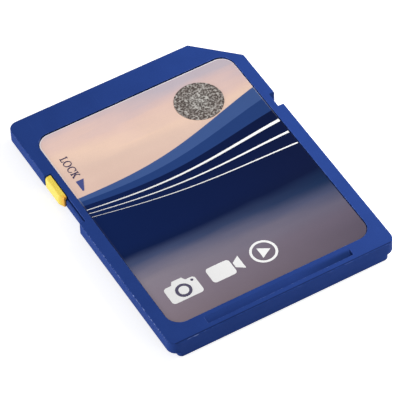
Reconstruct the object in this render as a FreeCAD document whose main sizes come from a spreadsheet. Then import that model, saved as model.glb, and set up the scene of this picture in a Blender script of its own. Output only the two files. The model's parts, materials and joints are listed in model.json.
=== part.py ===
import FreeCAD, Part
import math
import os
import Sketcher

# Memory card with a write-protect slider, lying on its back with the label side up.
# Origin: middle of the back face. X runs across the card, +Y to the contact end, Z up. Millimetres.

SQRT2 = math.sqrt(2.0)
EQUAL_CONTACTS = 6        # contacts 1 to 6 share one pitch
FLOOR_POCKET_ROWS = 3     # hollow rows under the board
OVERCUT = 1.0             # how far a cut runs out past the open side of the piece

DRIVING_SIZES = [
    # Plan of the card: as wide as its row of contacts and the margins beside the row
    ("card_length", 32.0),
    ("right_margin", 2.625),          # right edge to the middle of contact 9
    ("contact_pitch", 2.5),
    ("seventh_pitch", 2.43),          # contact 6 to contact 7
    ("eighth_pitch", 1.7),            # contact 7 to contact 8
    ("left_margin", 2.245),           # middle of contact 8 to the left edge
    ("corner_cut", 4.0),
    ("corner_radius", 1.0),
    ("cut_corner_radius", 0.3),       # where the cut corner meets the right rail
    ("edge_round", 0.07),
    # Rails: the lower layer stands back from both long sides
    ("rail_inset", 0.75),
    ("rail_underside", 0.7),          # also the height of the board's underside
    ("keel_corner_radius", 0.5),
    ("keel_edge_round", 0.07),
    # Stack of layers above the rail underside
    ("board_thickness", 0.4),
    ("memory_height", 0.6),
    ("memory_headroom", 0.05),
    ("lid_plate", 0.35),
    ("lid_rim", 0.1),                 # how far the rim of the lid comes down past its plate
    # Walls of the base, and the fit of board and lid in it
    ("side_wall", 1.2),
    ("rear_wall", 1.4),
    ("front_wall", 1.0),
    ("cut_wall", 1.0),
    ("base_floor", 0.35),
    ("seat_ledge", 1.2),              # ledge that carries the edge of the board
    ("seat_rib", 1.0),                # rib between the hollows under the board
    ("board_clearance", 0.1),
    ("lip_clearance", 0.05),
    ("lip_width", 0.5),               # lip of the lid that locates it and holds the board down
    # Contacts and their windows
    ("contact_width", 1.4),
    ("contact_length", 4.0),
    ("contact_thickness", 0.05),
    ("contact_corner_radius", 0.2),
    ("contact_inset", 0.1),           # front edge of the board to the contacts
    ("window_gap", 0.25),             # window beside a contact
    ("window_rear_gap", 0.4),         # window behind a contact
    # Label and seal
    ("label_side_margin", 1.29),
    ("label_front_margin", 2.98),
    ("label_rear_margin", 1.95),
    ("label_corner_radius", 1.5),
    ("label_recess", 0.15),
    ("label_gap", 0.05),              # label to the left and rear walls of its recess
    ("label_right_gap", 0.1),
    ("label_front_gap", 0.15),
    ("label_thickness", 0.1),
    ("seal_diameter", 4.9),
    ("seal_thickness", 0.03),
    ("seal_from_side", 5.46),         # right wall of the label recess to the middle of the seal
    ("seal_from_front", 4.07),        # front wall of the label recess to the middle of the seal
    # Fingernail groove: a ramp that ends in a wall towards the rear
    ("groove_length", 15.5),
    ("groove_from_rear", 0.65),
    ("groove_width", 0.85),
    ("groove_depth", 0.34),
    # Notch in the right rail
    ("notch_from_front", 10.65),
    ("notch_length", 0.93),
    ("notch_lean", 0.75),             # the wall on the contact side leans out by this
    ("notch_depth", 0.58),
    ("notch_radius", 0.05),
    ("notch_lead_radius", 0.6),       # outer corner on the contact side
    # Slider and its recess in the left rail
    ("recess_from_front", 7.65),
    ("recess_depth", 0.5),
    ("recess_ramp", 1.0),
    ("recess_radius", 0.15),
    ("recess_slope_width", 0.12),     # slope along the top of the recess wall: across it
    ("recess_slope_depth", 0.14),     # and down it
    ("lid_setback", 0.2),            # the lid stands this much further back than the base
    ("slider_length", 3.2),
    ("slider_travel", 2.4),
    ("slider_end_gap", 0.15),
    ("slider_run_out", 0.2),          # room past the locked end
    ("slider_side_gap", 0.05),        # slider to the wall of the base
    ("slider_lid_gap", 0.12),         # cap of the slider to the edge of the lid
    ("slider_base_gap", 0.05),        # slider above the rail underside
    ("slider_top_drop", 0.03),        # slider below the top face
    ("slider_nose_length", 0.6),
    ("slider_nose_depth", 0.3),
    ("slider_edge_round", 0.35),
    ("slider_cap_round", 0.06),       # the other edges of its top
    ("slit_roof", 0.25),              # lid above the slit that the tongue runs in
    ("slit_front_end", 0.05),
    ("guide_clearance", 0.03),
    ("tongue_inset", 0.3),
    ("channel_wall", 0.35),
    ("channel_width", 0.45),
    ("channel_depth", 0.4),
    ("channel_inner_wall", 0.3),
    ("channel_end_wall", 0.6),
    ("stop_gap", 0.1),                # hook to the channel's ends at both limits
    # Pieces on the board
    ("memory_width", 12.0),
    ("memory_length", 15.4),
    ("memory_from_side", 0.6),
    ("memory_from_rear", 0.6),
    ("memory_standoff", 0.05),
    ("memory_edge_chamfer", 0.08),
    ("lead_pitch", 0.5),
    ("lead_end_margin", 0.1),         # least space from the outermost lead to the side of the package
    ("lead_width", 0.22),
    ("lead_thickness", 0.12),
    ("lead_shoulder", 0.25),
    ("lead_foot", 0.45),
    ("controller_side", 4.0),
    ("controller_height", 0.5),
    ("controller_from_side", 0.7),
    ("controller_from_rear", 9.0),
    ("capacitor_length", 1.6),
    ("capacitor_width", 0.8),
    ("capacitor_height", 0.45),
    ("resistor_length", 1.0),
    ("resistor_width", 0.5),
    ("resistor_height", 0.32),
    ("end_cap_length", 0.25),
    ("end_cap_rise", 0.02),
    ("capacitor_row_from_front", 3.4),
    ("capacitor_pitch", 2.6),
    ("resistor_row_from_front", 5.6),
    ("resistor_pitch", 2.0),
]


class Size:
    """A length with its present number and the sheet expression that a dimension is bound to."""

    def __init__(self, text, number):
        self.text = text
        self.number = number

    def _join(self, sign, other, number):
        return Size(f"({self.text} {sign} {other.text})", number)

    def __add__(self, other):
        other = as_size(other)
        return self._join("+", other, self.number + other.number)

    def __sub__(self, other):
        other = as_size(other)
        return self._join("-", other, self.number - other.number)

    def __rsub__(self, other):
        return as_size(other) - self

    def __mul__(self, other):
        other = as_size(other)
        return self._join("*", other, self.number * other.number)

    def __truediv__(self, other):
        other = as_size(other)
        return self._join("/", other, self.number / other.number)

    def __neg__(self):
        return Size(f"(0 - {self.text})", -self.number)

    __radd__ = __add__
    __rmul__ = __mul__


def as_size(value):
    if isinstance(value, Size):
        return value
    return Size(repr(float(value)), float(value))


doc = FreeCAD.newDocument("memory_card")
sheet = doc.addObject("Spreadsheet::Sheet", "Sizes")
for row, (alias, value) in enumerate(DRIVING_SIZES, start=1):
    sheet.set(f"A{row}", alias)
    sheet.set(f"B{row}", str(value))
    sheet.setAlias(f"B{row}", alias)
doc.recompute()


def size(alias):
    return Size(f"Sizes.{alias}", float(sheet.get(alias)))


# Overall sizes and the heights of the layers
contact_row = EQUAL_CONTACTS * size("contact_pitch") + size("seventh_pitch") + size("eighth_pitch")
half_width = (size("right_margin") + contact_row + size("left_margin")) / 2
half_length = size("card_length") / 2
board_under = size("rail_underside")
board_top = board_under + size("board_thickness")
lid_under = board_top + size("memory_height") + size("memory_headroom")
card_top = lid_under + size("lid_plate")
parting = lid_under - size("lid_rim")
back = as_size(0)

# Slider recess, its slit and the channel behind it, seen from above
recess_front = half_length - size("recess_from_front")
slider_front = recess_front - size("slider_end_gap")
slider_rear = slider_front - size("slider_length")
recess_foot = slider_rear - size("slider_travel") - size("slider_run_out")
recess_rear = recess_foot - size("recess_ramp")
channel_outer = size("recess_depth") + size("channel_wall") - half_width
channel_inner = channel_outer + size("channel_width")
hook_front = slider_front - size("tongue_inset")
hook_rear = slider_rear + size("tongue_inset")
channel_front = hook_front + size("stop_gap")
channel_rear = hook_rear - size("slider_travel") - size("stop_gap")

# Label recess in the top face
label_right = half_width - size("label_side_margin")
label_front = half_length - size("label_front_margin")
label_rear = size("label_rear_margin") - half_length
label_floor = card_top - size("label_recess")

# Contacts, counted from the cut corner: contact 9 first, then 1 to 8
contact_9_x = half_width - size("right_margin")
contact_x = {9: contact_9_x}
for number in range(1, EQUAL_CONTACTS + 1):
    contact_x[number] = contact_9_x - number * size("contact_pitch")
contact_x[7] = contact_x[EQUAL_CONTACTS] - size("seventh_pitch")
contact_x[8] = contact_x[7] - size("eighth_pitch")
board_front = half_length - size("front_wall") - size("board_clearance")
contact_front = board_front - size("contact_inset")
cut_line = half_width + half_length - size("corner_cut")      # x + y along the cut corner
board_cut_line = cut_line - SQRT2 * (size("cut_wall") + size("board_clearance"))
contact_9_front = board_cut_line - contact_9_x - size("contact_width") / 2 - size("contact_inset")
window_half = size("contact_width") / 2 + size("window_gap")
window_reach = size("contact_length") + size("window_rear_gap")


# Building blocks for the pieces


def new_body(label):
    body = doc.addObject("PartDesign::Body", label)
    body.Label = label
    return body


def origin_feature(body, role):
    return next(item for item in body.Origin.OriginFeatures if item.Role == role)


def new_sketch(body, name, role, level):
    """Empty sketch parallel to one of the body's own origin planes, at a level along its normal."""
    sketch = body.newObject("Sketcher::SketchObject", name)
    sketch.AttachmentSupport = [(origin_feature(body, role), "")]
    sketch.MapMode = "FlatFace"
    sketch.setExpression("AttachmentOffset.Base.z", level.text)
    return sketch


def pin(sketch, geometry, point, place):
    """Dimension one point of the sketch from the sketch origin, across and up."""
    for kind, length in zip(("DistanceX", "DistanceY"), place):
        constraint = Sketcher.Constraint(kind, -1, 1, geometry, point, length.number)
        index = sketch.addConstraint(constraint)
        sketch.setExpression(f"Constraints[{index}]", length.text)


def draw_loop(sketch, corners):
    """Closed loop of straight lines with every corner dimensioned."""
    first = sketch.GeometryCount
    count = len(corners)
    points = [FreeCAD.Vector(x.number, y.number, 0) for x, y in corners]
    lines = [Part.LineSegment(points[i], points[(i + 1) % count]) for i in range(count)]
    sketch.addGeometry(lines, False)
    for i in range(count):
        following = first + (i + 1) % count
        sketch.addConstraint(Sketcher.Constraint("Coincident", first + i, 2, following, 1))
    for i, place in enumerate(corners):
        pin(sketch, first + i, 1, place)


def draw_circle(sketch, centre, diameter):
    middle = FreeCAD.Vector(centre[0].number, centre[1].number, 0)
    circle = Part.Circle(middle, FreeCAD.Vector(0, 0, 1), diameter.number / 2)
    index = sketch.addGeometry(circle, False)
    pin(sketch, index, 3, centre)
    constraint = sketch.addConstraint(Sketcher.Constraint("Diameter", index, diameter.number))
    sketch.setExpression(f"Constraints[{constraint}]", diameter.text)


def rectangle(left, right, rear, front):
    return [(left, rear), (right, rear), (right, front), (left, front)]


def centred(x, y, width, length):
    return rectangle(x - width / 2, x + width / 2, y - length / 2, y + length / 2)


def extrude(body, kind, name, role, level, height, loops):
    sketch = new_sketch(body, f"{name}_sketch", role, level)
    for corners in loops:
        draw_loop(sketch, corners)
    feature = body.newObject(kind, name)
    feature.Profile = sketch
    feature.setExpression("Length", height.text)
    return feature


def raise_block(body, name, bottom, top, *loops):
    """Add material between two levels."""
    return extrude(body, "PartDesign::Pad", name, "XY_Plane", bottom, top - bottom, loops)


def cut_along(body, name, role, level, length, *loops):
    """Take material away from a level along the plane's normal; the cut has to find some."""
    doc.recompute()
    before = body.Shape.Volume
    pocket = extrude(body, "PartDesign::Pocket", name, role, level, length, loops)
    pocket.Reversed = True
    doc.recompute()
    if body.Shape.Volume >= before:
        raise RuntimeError(f"{body.Label}: {name} cuts nothing")
    return pocket


def cut_block(body, name, bottom, top, *loops):
    """Take material away between two levels."""
    return cut_along(body, name, "XY_Plane", bottom, top - bottom, *loops)


def near(number, length):
    return abs(number - length.number) < 1e-4


def edge_names(body, test):
    doc.recompute()
    return [f"Edge{i}" for i, edge in enumerate(body.Shape.Edges, start=1) if test(edge)]


def upright_at(places):
    """Test for straight upright edges that stand at one of the places."""

    def test(edge):
        a, b = edge.Vertexes[0].Point, edge.Vertexes[-1].Point
        upright = math.hypot(a.x - b.x, a.y - b.y) < 1e-6 and abs(a.z - b.z) > 1e-6
        return upright and any(near(a.x, x) and near(a.y, y) for x, y in places)

    return test


def level_at(height):
    """Test for edges that lie in one level."""
    return lambda edge: all(near(vertex.Z, height) for vertex in edge.Vertexes)


def dress_edges(body, kind, name, property_name, length, test):
    names = edge_names(body, test)
    if not names:
        raise RuntimeError(f"{body.Label}: {name} finds no edge")
    base = body.Tip
    feature = body.newObject(kind, name)
    feature.Base = (base, names)
    feature.setExpression(property_name, length.text)
    return feature


def round_edges(body, name, radius, test):
    return dress_edges(body, "PartDesign::Fillet", name, "Radius", radius, test)


def chamfer_edges(body, name, length, test):
    return dress_edges(body, "PartDesign::Chamfer", name, "Size", length, test)


def row_along(body, name, originals, role, span, count, backwards):
    """Repeat features in a straight row along one of the body's origin axes."""
    pattern = body.newObject("PartDesign::LinearPattern", name)
    pattern.Originals = originals
    pattern.Direction = (origin_feature(body, role), [""])
    pattern.Reversed = backwards
    pattern.setExpression("Length", span.text)
    pattern.Occurrences = count
    body.Tip = pattern
    return pattern


# Outlines shared by the covers, the board and the lip


def rail_outline(slider_recess_depth, slider_recess_foot):
    """Full outline of the card with the notch on the right and the slider recess on the left."""
    notch_front = half_length - size("notch_from_front")
    notch_rear = notch_front - size("notch_length")
    notch_floor = half_width - size("notch_depth")
    recess_floor = slider_recess_depth - half_width
    return [
        (-half_width, -half_length),
        (half_width, -half_length),
        (half_width, notch_rear),
        (notch_floor, notch_rear),
        (notch_floor, notch_front),
        (half_width, notch_front + size("notch_lean")),
        (half_width, half_length - size("corner_cut")),
        (half_width - size("corner_cut"), half_length),
        (-half_width, half_length),
        (-half_width, recess_front),
        (recess_floor, recess_front),
        (recess_floor, slider_recess_foot),
        (-half_width, recess_rear),
    ]


def round_rail_corners(body, outline):
    round_edges(body, "corners", size("corner_radius"), upright_at([outline[0], outline[1], outline[8]]))
    round_edges(body, "cut_corner", size("cut_corner_radius"), upright_at([outline[6]]))
    round_edges(body, "notch_corners", size("notch_radius"), upright_at(outline[2:5]))
    round_edges(body, "notch_lead_corner", size("notch_lead_radius"), upright_at([outline[5]]))
    round_edges(body, "recess_corners", size("recess_radius"), upright_at(outline[9:13]))


def cavity_outline(gap):
    """Outline of the hollow in the base, drawn in by a gap; it steps in round the slider channel."""
    left = size("side_wall") + gap - half_width
    right = half_width - size("side_wall") - gap
    rear = size("rear_wall") + gap - half_length
    front = half_length - size("front_wall") - gap
    line = cut_line - SQRT2 * (size("cut_wall") + gap)
    step = channel_inner + size("channel_inner_wall") + gap
    step_front = recess_front + size("channel_end_wall") + gap
    step_rear = recess_rear - size("channel_end_wall") - gap
    return [
        (left, rear),
        (right, rear),
        (right, line - right),
        (line - front, front),
        (left, front),
        (left, step_front),
        (step, step_front),
        (step, step_rear),
        (left, step_rear),
    ]


# Covers


def build_bottom_cover():
    body = new_body("bottom_cover")
    keel_half = half_width - size("rail_inset")
    keel = [
        (-keel_half, -half_length),
        (keel_half, -half_length),
        (keel_half, cut_line - keel_half),
        (half_width - size("corner_cut"), half_length),
        (-keel_half, half_length),
    ]
    raise_block(body, "keel", back, board_under, keel)
    square_corners = upright_at([keel[0], keel[1], keel[4]])
    round_edges(body, "keel_corners", size("keel_corner_radius"), square_corners)
    round_edges(body, "keel_edge", size("keel_edge_round"), level_at(back))

    outline = rail_outline(size("recess_depth"), recess_foot)
    raise_block(body, "rails", board_under, parting, outline)
    round_rail_corners(body, outline)

    cavity = cavity_outline(as_size(0))
    cut_block(body, "board_hollow", board_under, parting, cavity)
    cut_floor_hollows(body)
    cut_contact_windows(body)
    channel = rectangle(channel_outer, channel_inner, channel_rear, channel_front)
    cut_block(body, "slider_channel", parting - size("channel_depth"), parting, channel)
    slope_recess_wall(body)
    return body


def slope_recess_wall(body):
    """Slope along the top of the recess wall that runs out as a scoop in the ramp at the locked end."""
    top_edge = size("recess_depth") + size("recess_slope_width") - half_width
    outside = -half_width - OVERCUT
    fall = (top_edge - outside) * size("recess_slope_depth") / size("recess_slope_width")
    slope = [
        (top_edge, parting),
        (outside, parting),
        (outside, parting - fall),
    ]
    cut_along(body, "recess_slope", "XZ_Plane", -recess_front, recess_front - recess_rear, slope)


def cut_floor_hollows(body):
    """Hollows under the board, in rows, with ribs and a ledge left standing for it."""
    right = half_width - size("side_wall") - size("seat_ledge")
    rib = size("seat_rib")
    rear = size("rear_wall") + size("seat_ledge") - half_length
    front = contact_9_front - window_reach - size("seat_ledge")
    length = (front - rear - (FLOOR_POCKET_ROWS - 1) * rib) / FLOOR_POCKET_ROWS
    right_hollow = rectangle(rib / 2, right, rear, rear + length)
    left_hollow = rectangle(-right, -rib / 2, rear, rear + length)
    hollows = cut_block(body, "floor_hollows", size("base_floor"), board_under, right_hollow, left_hollow)
    span = (FLOOR_POCKET_ROWS - 1) * (length + rib)
    row_along(body, "floor_hollow_rows", [hollows], "Y_Axis", span, FLOOR_POCKET_ROWS, False)


def cut_contact_windows(body):
    """Windows through the lower layer, open at the leading edge, with ribs between them."""
    open_end = half_length + OVERCUT
    rear = contact_front - window_reach
    first = rectangle(contact_x[1] - window_half, contact_x[1] + window_half, rear, open_end)
    window = cut_block(body, "first_window", back, board_under, first)
    span = (EQUAL_CONTACTS - 1) * size("contact_pitch")
    row_along(body, "equal_windows", [window], "X_Axis", span, EQUAL_CONTACTS, True)
    shared = rectangle(contact_x[8] - window_half, contact_x[7] + window_half, rear, open_end)
    cut_block(body, "shared_window", back, board_under, shared)
    side_rear = contact_9_front - window_reach
    side = rectangle(contact_9_x - window_half, contact_9_x + window_half, side_rear, open_end)
    cut_block(body, "side_window", back, board_under, side)


def build_top_cover():
    body = new_body("top_cover")
    outline = rail_outline(size("recess_depth") + size("lid_setback"), recess_rear)
    raise_block(body, "lid", parting, card_top, outline)
    round_rail_corners(body, outline)
    round_edges(body, "top_edge", size("edge_round"), level_at(card_top))

    recess = rectangle(-label_right, label_right, label_rear, label_front)
    cut_block(body, "label_recess", label_floor, card_top, recess)
    round_edges(body, "label_recess_corners", size("label_corner_radius"), upright_at(recess))
    cut_nail_groove(body)

    lip_outer = cavity_outline(size("lip_clearance"))
    lip_inner = cavity_outline(size("lip_clearance") + size("lip_width"))
    raise_block(body, "locating_lip", board_top, parting, lip_outer, lip_inner)
    cut_block(body, "lid_hollow", parting, lid_under, lip_inner)
    slit = rectangle(-half_width, channel_inner, recess_rear, recess_front - size("slit_front_end"))
    cut_block(body, "slider_slit", parting, card_top - size("slit_roof"), slit)
    return body


def cut_nail_groove(body):
    """Ramp across the rear of the lid that falls away to a wall for the fingernail."""
    wall = size("groove_from_rear") - half_length
    ramp = [
        (wall, card_top - size("groove_depth")),
        (wall + size("groove_width"), card_top),
        (wall + size("groove_width"), card_top + OVERCUT),
        (wall, card_top + OVERCUT),
    ]
    length = size("groove_length")
    cut_along(body, "nail_groove", "YZ_Plane", -length / 2, length, ramp)


# Slider, label and seal


def build_slider():
    body = new_body("write_protect_slider")
    outer = -half_width
    inner = size("recess_depth") - size("slider_side_gap") - half_width
    bottom = board_under + size("slider_base_gap")
    top = card_top - size("slider_top_drop")
    nose = outer + size("slider_nose_depth")
    grip = [
        (outer, slider_front),
        (outer, slider_rear + size("slider_nose_length")),
        (nose, slider_rear),
        (inner, slider_rear),
        (inner, slider_front),
    ]
    raise_block(body, "grip", bottom, top, grip)

    def outer_long_edge(edge):
        flat = all(near(v.X, outer) for v in edge.Vertexes)
        return flat and near(edge.Vertexes[0].Z, top) and near(edge.Vertexes[-1].Z, top)

    round_edges(body, "grip_edge", size("slider_edge_round"), outer_long_edge)

    play = size("guide_clearance")
    tongue_bottom = parting + play
    cap_inner = size("recess_depth") + size("lid_setback") - size("slider_lid_gap") - half_width
    raise_block(body, "cap", tongue_bottom, top, rectangle(inner, cap_inner, slider_rear, slider_front))
    tangent = outer + size("slider_edge_round")

    def cap_edge(edge):
        level = all(near(v.Z, top) for v in edge.Vertexes)
        return level and not all(near(v.X, tangent) for v in edge.Vertexes)

    round_edges(body, "cap_edges", size("slider_cap_round"), cap_edge)

    tongue_top = card_top - size("slit_roof") - play
    hook_outer = channel_outer + play
    hook_inner = channel_inner - play
    tongue = rectangle(inner, hook_inner, hook_rear, hook_front)
    raise_block(body, "tongue", tongue_bottom, tongue_top, tongue)
    hook = rectangle(hook_outer, hook_inner, hook_rear, hook_front)
    raise_block(body, "hook", parting - size("channel_depth") + play, tongue_bottom, hook)
    return body


def build_front_label():
    body = new_body("front_label")
    gap = size("label_gap")
    right = label_right - size("label_right_gap")
    front = label_front - size("label_front_gap")
    edge = rectangle(gap - label_right, right, label_rear + gap, front)
    raise_block(body, "sheet", label_floor, label_floor + size("label_thickness"), edge)
    round_edges(body, "sheet_corners", size("label_corner_radius") - gap, upright_at(edge))
    return body


def build_security_seal():
    body = new_body("security_seal")
    bottom = label_floor + size("label_thickness")
    sketch = new_sketch(body, "disc_sketch", "XY_Plane", bottom)
    middle = (label_right - size("seal_from_side"), label_front - size("seal_from_front"))
    draw_circle(sketch, middle, size("seal_diameter"))
    disc = body.newObject("PartDesign::Pad", "disc")
    disc.Profile = sketch
    disc.setExpression("Length", size("seal_thickness").text)
    return body


# Board, contacts and the pieces on the board


def build_circuit_board():
    body = new_body("circuit_board")
    raise_block(body, "board", board_under, board_top, cavity_outline(size("board_clearance")))
    return body


def build_contact(number):
    body = new_body(f"contact_{number}")
    x = contact_x[number]
    front = contact_9_front if number == 9 else contact_front
    half = size("contact_width") / 2
    edge = rectangle(x - half, x + half, front - size("contact_length"), front)
    raise_block(body, "pad", board_under - size("contact_thickness"), board_under, edge)
    round_edges(body, "pad_corners", size("contact_corner_radius"), upright_at(edge))
    return body


def memory_place():
    """Left, right, rear and front of the memory package, seated beside the lip at the rear left."""
    inset = size("lip_clearance") + size("lip_width")
    lead_reach = size("lead_shoulder") + size("lead_thickness") + size("lead_foot")
    left = size("side_wall") + inset + size("memory_from_side") - half_width
    rear = size("rear_wall") + inset + size("memory_from_rear") + lead_reach - half_length
    return left, left + size("memory_width"), rear, rear + size("memory_length")


def build_flash_memory():
    body = new_body("flash_memory")
    edge = rectangle(*memory_place())
    top = board_top + size("memory_height")
    raise_block(body, "package", board_top + size("memory_standoff"), top, edge)
    chamfer_edges(body, "package_edge", size("memory_edge_chamfer"), level_at(top))
    return body


def build_flash_leads():
    """Bent leads in a row at both ends of the memory package."""
    body = new_body("flash_leads")
    left, right, rear, front = memory_place()
    thick = size("lead_thickness")
    width = size("lead_width")
    room = size("memory_width") - width - 2 * size("lead_end_margin")
    leads_per_end = int(room.number / size("lead_pitch").number) + 1
    row_span = (leads_per_end - 1) * size("lead_pitch")
    first_x = (left + right) / 2 - row_span / 2 - width / 2
    shoulder = board_top + size("memory_height") / 2
    for name, end, outward in (("rear", rear, -1), ("front", front, 1)):
        knee = end + outward * size("lead_shoulder")
        shin = knee + outward * thick
        toe = shin + outward * size("lead_foot")
        profile = [
            (end, shoulder),
            (end, shoulder + thick),
            (shin, shoulder + thick),
            (shin, board_top + thick),
            (toe, board_top + thick),
            (toe, board_top),
            (knee, board_top),
            (knee, shoulder),
        ]
        lead = extrude(body, "PartDesign::Pad", f"{name}_lead", "YZ_Plane", first_x, width, [profile])
        row_along(body, f"{name}_leads", [lead], "X_Axis", row_span, leads_per_end, False)
    return body


def build_controller_chip():
    body = new_body("controller_chip")
    side = size("controller_side")
    inset = size("lip_clearance") + size("lip_width")
    right = half_width - size("side_wall") - inset - size("controller_from_side")
    rear = size("rear_wall") + inset + size("controller_from_rear") - half_length
    top = board_top + size("controller_height")
    raise_block(body, "package", board_top, top, rectangle(right - side, right, rear, rear + side))
    chamfer_edges(body, "package_edge", size("memory_edge_chamfer"), level_at(top))
    return body


def build_chip_part(label, x, y, width, length, height):
    """Small ceramic block with a slightly raised metal cap at each end."""
    body = new_body(label)
    cap = size("end_cap_length")
    rise = size("end_cap_rise")
    raise_block(body, "ceramic", board_top, board_top + height, centred(x, y, width, length))
    wide = width + 2 * rise
    front_cap = rectangle(x - wide / 2, x + wide / 2, y + length / 2 - cap, y + length / 2)
    rear_cap = rectangle(x - wide / 2, x + wide / 2, y - length / 2, y - length / 2 + cap)
    raise_block(body, "end_caps", board_top, board_top + height + rise, front_cap, rear_cap)
    return body


def build_chip_row(name, count, pitch, from_front):
    """Row of like chips across the board, in the middle of its width."""
    y = board_front - from_front
    dimensions = [size(f"{name}_{part}") for part in ("width", "length", "height")]
    for index in range(count):
        x = (index - (count - 1) / 2) * pitch
        yield build_chip_part(f"{name}_{index + 1}", x, y, *dimensions)


pieces = [
    build_bottom_cover(),
    build_top_cover(),
    build_slider(),
    build_front_label(),
    build_security_seal(),
    build_circuit_board(),
    build_flash_memory(),
    build_flash_leads(),
    build_controller_chip(),
]
pieces += [build_contact(number) for number in sorted(contact_x)]
pieces += build_chip_row("capacitor", 5, size("capacitor_pitch"), size("capacitor_row_from_front"))
pieces += build_chip_row("resistor", 4, size("resistor_pitch"), size("resistor_row_from_front"))

doc.recompute()
for item in doc.Objects:
    if "Invalid" in item.State or "Error" in item.State:
        raise RuntimeError(f"{item.Label} failed: {item.State}")
for piece in pieces:
    if piece.Shape.isNull() or not piece.Shape.isValid():
        raise RuntimeError(f"{piece.Label} has no valid shape")

os.makedirs("parts", exist_ok=True)
for piece in pieces:
    piece.Shape.exportStep(f"parts/{piece.Label}.step")
    box = piece.Shape.BoundBox
    print(f"{piece.Label}: {len(piece.Shape.Solids)} solid(s), {piece.Shape.Volume:.4f} mm3, "
          f"x {box.XMin:.3f} {box.XMax:.3f}, y {box.YMin:.3f} {box.YMax:.3f}, z {box.ZMin:.3f} {box.ZMax:.3f}")
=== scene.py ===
import json
import math

import bmesh
import bpy
from mathutils import Matrix, Vector


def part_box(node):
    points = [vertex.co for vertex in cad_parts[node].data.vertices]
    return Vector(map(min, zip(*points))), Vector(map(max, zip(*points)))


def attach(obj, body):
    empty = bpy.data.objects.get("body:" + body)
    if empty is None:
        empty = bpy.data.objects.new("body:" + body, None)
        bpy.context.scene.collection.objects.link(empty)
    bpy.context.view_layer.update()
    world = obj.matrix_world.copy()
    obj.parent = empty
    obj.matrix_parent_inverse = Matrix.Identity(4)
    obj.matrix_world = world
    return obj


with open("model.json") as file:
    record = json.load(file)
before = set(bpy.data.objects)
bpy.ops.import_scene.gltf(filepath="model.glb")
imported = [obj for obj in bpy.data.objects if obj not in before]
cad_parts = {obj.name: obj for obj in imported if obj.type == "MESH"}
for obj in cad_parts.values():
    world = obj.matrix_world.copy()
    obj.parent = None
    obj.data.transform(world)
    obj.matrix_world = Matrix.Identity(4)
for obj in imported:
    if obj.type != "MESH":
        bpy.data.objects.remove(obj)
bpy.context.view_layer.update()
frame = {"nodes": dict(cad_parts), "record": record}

MM = 0.001

# Places on the card, in millimetres
label_low, label_high = (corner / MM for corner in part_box("front_label"))
seal_low, seal_high = (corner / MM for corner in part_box("security_seal"))
seal_centre = (seal_low + seal_high) / 2
seal_radius = (seal_high.x - seal_low.x) / 2
slider_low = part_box("write_protect_slider")[0] / MM
base_low, base_high = (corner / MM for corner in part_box("bottom_cover"))
lid_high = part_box("top_cover")[1] / MM
capacitor_low, capacitor_high = (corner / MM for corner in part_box("capacitor_1"))
resistor_low, resistor_high = (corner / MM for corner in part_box("resistor_1"))
GROOVE_FRONT = -14.5
GROOVE_REAR = -15.35
GROOVE_END = 7.75
NOTCH_FLOOR = 11.42
NOTCH_WALL_FROM = 5.35
NOTCH_WALL_TO = 6.1
RAIL_BOTTOM = 0.7
LABEL_TOP = label_high.z
LABEL_CORNER = 1.45
LABEL_FAR_GAP = 0.15
PRINT_SHIFT = 0.045
INK_THICKNESS = 0.012
ROUND_SIDES = 40

# Fades of a mark at its edge, in millimetres
SHARP = 0.02
SOFT = 0.1

# Most values of a noise texture lie between these two
NOISE_LOW = 0.3
NOISE_HIGH = 0.7

# Sockets of a mix node that mixes colours, which share their names with others
MIX_FACTOR, MIX_FIRST, MIX_SECOND = 0, 6, 7
MIX_RESULT = 2

# The crest lines of the print: each starts at the label's left edge and sweeps up or down to the right
SWEEP_LENGTH = 34.0
CRESTS = {
    "slate": {"left": 4.2, "right": 7.2, "swing": 0.9},
    "indigo": {"left": 3.7, "right": 5.4, "swing": 0.9},
    "navy": {"left": 3.1, "right": 3.7, "swing": 0.8},
}
LIGHT_LINES = [
    {"left": 2.5, "right": 2.3, "swing": 0.7, "width": 0.34},
    {"left": 2.0, "right": 0.6, "swing": 0.6, "width": 0.24},
    {"left": 1.5, "right": -1.0, "swing": 0.5, "width": 0.15},
]

# Lettering and arrow beside the slider: the word starts at the first place and reads down the card
LOCK_START = (-9.77, 9.53)
LETTER_HEIGHT = 0.78
THICK_STROKE = 0.14
THIN_STROKE = 0.08
SERIF = 0.07
ARROW_CORNERS = [(-9.78, 6.17), (-8.95, 6.17), (-9.6, 4.8), (-9.75, 4.8)]

# Plain pictograms at the foot of the label: their middles, and the corners of plates seen from there
CAMERA_PLACE = (-7.7, -10.6)
CAMERA_HUMP = [(-0.75, 0.9), (0.75, 0.9), (0.5, 1.3), (-0.5, 1.3)]
RECORDER_PLACE = (-3.2, -10.6)
RECORDER_HORN = [(0.95, -0.3), (1.75, -0.85), (1.75, 0.85), (0.95, 0.3)]
PLAY_PLACE = (0.9, -10.6)
PLAY_POINTER = [(-0.4, -0.66), (0.72, 0.0), (-0.4, 0.66)]


def colour(code):
    """The linear colour for a display colour written as six hexadecimal digits."""
    channels = [int(code[start:start + 2], 16) / 255 for start in (0, 2, 4)]
    linear = [c / 12.92 if c <= 0.04045 else ((c + 0.055) / 1.055) ** 2.4 for c in channels]
    return (*linear, 1.0)


def crest_height(crest, x):
    """Height on the label, in millimetres, of a crest line at the place x across it."""
    across = (x - label_low.x) / (label_high.x - label_low.x)
    sway = crest["swing"] * math.sin(2 * math.pi * (x - label_low.x) / SWEEP_LENGTH)
    return crest["left"] + (crest["right"] - crest["left"]) * across - sway


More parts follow.
